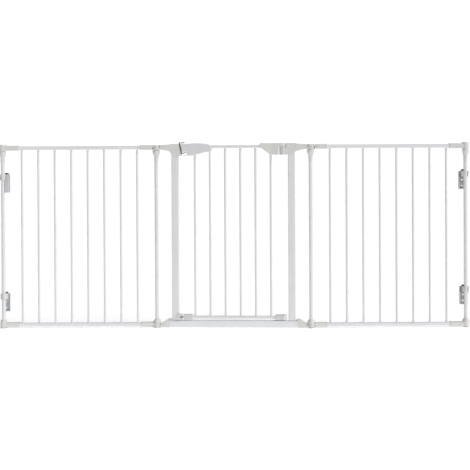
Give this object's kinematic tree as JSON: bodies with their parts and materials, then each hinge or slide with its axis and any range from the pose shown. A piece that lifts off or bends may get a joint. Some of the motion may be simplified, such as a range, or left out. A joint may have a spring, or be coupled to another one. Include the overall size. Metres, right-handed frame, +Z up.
{
  "type": "safety gate",
  "caption": "Free-width safety gate: walk-through centre frame with a two-way barred door and a folding barred panel on each side, with swivelling wall brackets.",
  "frame": {"origin": "on the floor, under the middle of the gate's bounding box", "axes": "+X along the gate towards the door's hinge side, +Y from the front to the back, +Z up"},
  "size_m": [1.9334, 0.1242, 0.7668],
  "materials": {
    "white_steel": "smooth white powder coat, low gloss",
    "white_plastic": "warm white moulded plastic, fine satin",
    "handle_plastic": "cool white moulded plastic, satin",
    "zinc_steel": "bright zinc plate",
    "dark_steel": "dark burnished steel"
  },
  "bodies": {
    "centre_frame": {"left_upright": "white_steel", "left_threshold_arm": "white_plastic", "left_post": "white_steel", "left_post_collar": "white_plastic", "left_post_dome": "white_plastic", "left_post_foot": "white_plastic", "right_upright": "white_steel", "right_threshold_arm": "white_plastic", "right_post": "white_steel", "right_post_collar": "white_plastic", "right_post_dome": "white_plastic", "right_post_foot": "white_plastic", "threshold_bar": "white_steel", "latch_corner_cap": "white_plastic", "hinge_corner_cap": "white_plastic", "latch_strike": "dark_steel", "floor_catch": "white_plastic", "upper_hinge_pin": "zinc_steel", "lower_hinge_pin": "zinc_steel"},
    "door": {"door_frame": "white_steel", "handle_front": "handle_plastic", "handle_back": "handle_plastic", "latch_spring": "zinc_steel", "hinge_cover_front": "white_plastic", "hinge_cover_back": "white_plastic", "door_hinge_block": "white_plastic", "door_catch_block": "white_plastic", "door_catch_pin": "zinc_steel"},
    "latch_slide": {"latch_slider": "handle_plastic", "latch_bolt": "zinc_steel"},
    "left_panel": {"left_panel_frame": "white_steel", "left_inner_top_joint": "white_plastic", "left_inner_bottom_joint": "white_plastic", "left_outer_top_joint": "white_plastic", "left_outer_bottom_joint": "white_plastic", "left_end_post": "white_steel", "left_end_collar": "white_plastic", "left_end_foot": "white_plastic"},
    "right_panel": {"right_panel_frame": "white_steel", "right_inner_top_joint": "white_plastic", "right_inner_bottom_joint": "white_plastic", "right_outer_top_joint": "white_plastic", "right_outer_bottom_joint": "white_plastic", "right_end_post": "white_steel", "right_end_collar": "white_plastic", "right_end_foot": "white_plastic"},
    "left_top_bracket_clip": {"left_top_bracket_clip": "white_plastic", "left_top_bracket_pin": "dark_steel"},
    "left_top_bracket_channel": {"left_top_bracket_channel": "zinc_steel"},
    "left_bottom_bracket_clip": {"left_bottom_bracket_clip": "white_plastic", "left_bottom_bracket_pin": "dark_steel"},
    "left_bottom_bracket_channel": {"left_bottom_bracket_channel": "zinc_steel"},
    "right_top_bracket_clip": {"right_top_bracket_clip": "white_plastic", "right_top_bracket_pin": "dark_steel"},
    "right_top_bracket_channel": {"right_top_bracket_channel": "zinc_steel"},
    "right_bottom_bracket_clip": {"right_bottom_bracket_clip": "white_plastic", "right_bottom_bracket_pin": "dark_steel"},
    "right_bottom_bracket_channel": {"right_bottom_bracket_channel": "zinc_steel"}
  },
  "joints": [
    {"name": "door_swing", "type": "hinge", "parent": "centre_frame", "child": "door", "pos_m": [0.20497, -0.01547, 0.74], "axis": [0, 0, 1], "range_deg": [-90, 90]},
    {"name": "latch_thumb_slide", "type": "slide", "parent": "door", "child": "latch_slide", "axis": [1, 0, 0], "range_m": [0, 0.01], "stiffness_N_per_m": 700, "springref_m": -0.003, "deforming": ["latch_spring"]},
    {"name": "left_panel_fold", "type": "hinge", "parent": "centre_frame", "child": "left_panel", "pos_m": [-0.31753, -0.01547, 0.38], "axis": [0, 0, 1], "range_deg": [-95, 95]},
    {"name": "right_panel_fold", "type": "hinge", "parent": "centre_frame", "child": "right_panel", "pos_m": [0.31847, -0.01547, 0.38], "axis": [0, 0, 1], "range_deg": [-95, 95]},
    {"name": "left_top_bracket_clip_turn", "type": "hinge", "parent": "left_panel", "child": "left_top_bracket_clip", "pos_m": [-0.95269, -0.04809, 0.6255], "axis": [0, 0, 1], "range_deg": [-90, 90]},
    {"name": "left_top_bracket_channel_turn", "type": "hinge", "parent": "left_top_bracket_clip", "child": "left_top_bracket_channel", "pos_m": [-0.93909, -0.0363, 0.6105], "axis": [0, 0, 1], "range_deg": [-3, 73]},
    {"name": "left_bottom_bracket_clip_turn", "type": "hinge", "parent": "left_panel", "child": "left_bottom_bracket_clip", "pos_m": [-0.95269, -0.04809, 0.132], "axis": [0, 0, 1], "range_deg": [-90, 90]},
    {"name": "left_bottom_bracket_channel_turn", "type": "hinge", "parent": "left_bottom_bracket_clip", "child": "left_bottom_bracket_channel", "pos_m": [-0.94681, -0.03108, 0.117], "axis": [0, 0, 1], "range_deg": [-73, 3]},
    {"name": "right_top_bracket_clip_turn", "type": "hinge", "parent": "right_panel", "child": "right_top_bracket_clip", "pos_m": [0.95271, 0.03188, 0.631], "axis": [0, 0, 1], "range_deg": [-90, 90]},
    {"name": "right_top_bracket_channel_turn", "type": "hinge", "parent": "right_top_bracket_clip", "child": "right_top_bracket_channel", "pos_m": [0.94418, 0.04774, 0.616], "axis": [0, 0, 1], "range_deg": [-18, 58]},
    {"name": "right_bottom_bracket_clip_turn", "type": "hinge", "parent": "right_panel", "child": "right_bottom_bracket_clip", "pos_m": [0.95271, 0.03188, 0.156], "axis": [0, 0, 1], "range_deg": [-90, 90]},
    {"name": "right_bottom_bracket_channel_turn", "type": "hinge", "parent": "right_bottom_bracket_clip", "child": "right_bottom_bracket_channel", "pos_m": [0.94589, 0.04854, 0.141], "axis": [0, 0, 1], "range_deg": [-24, 52]}
  ]
}
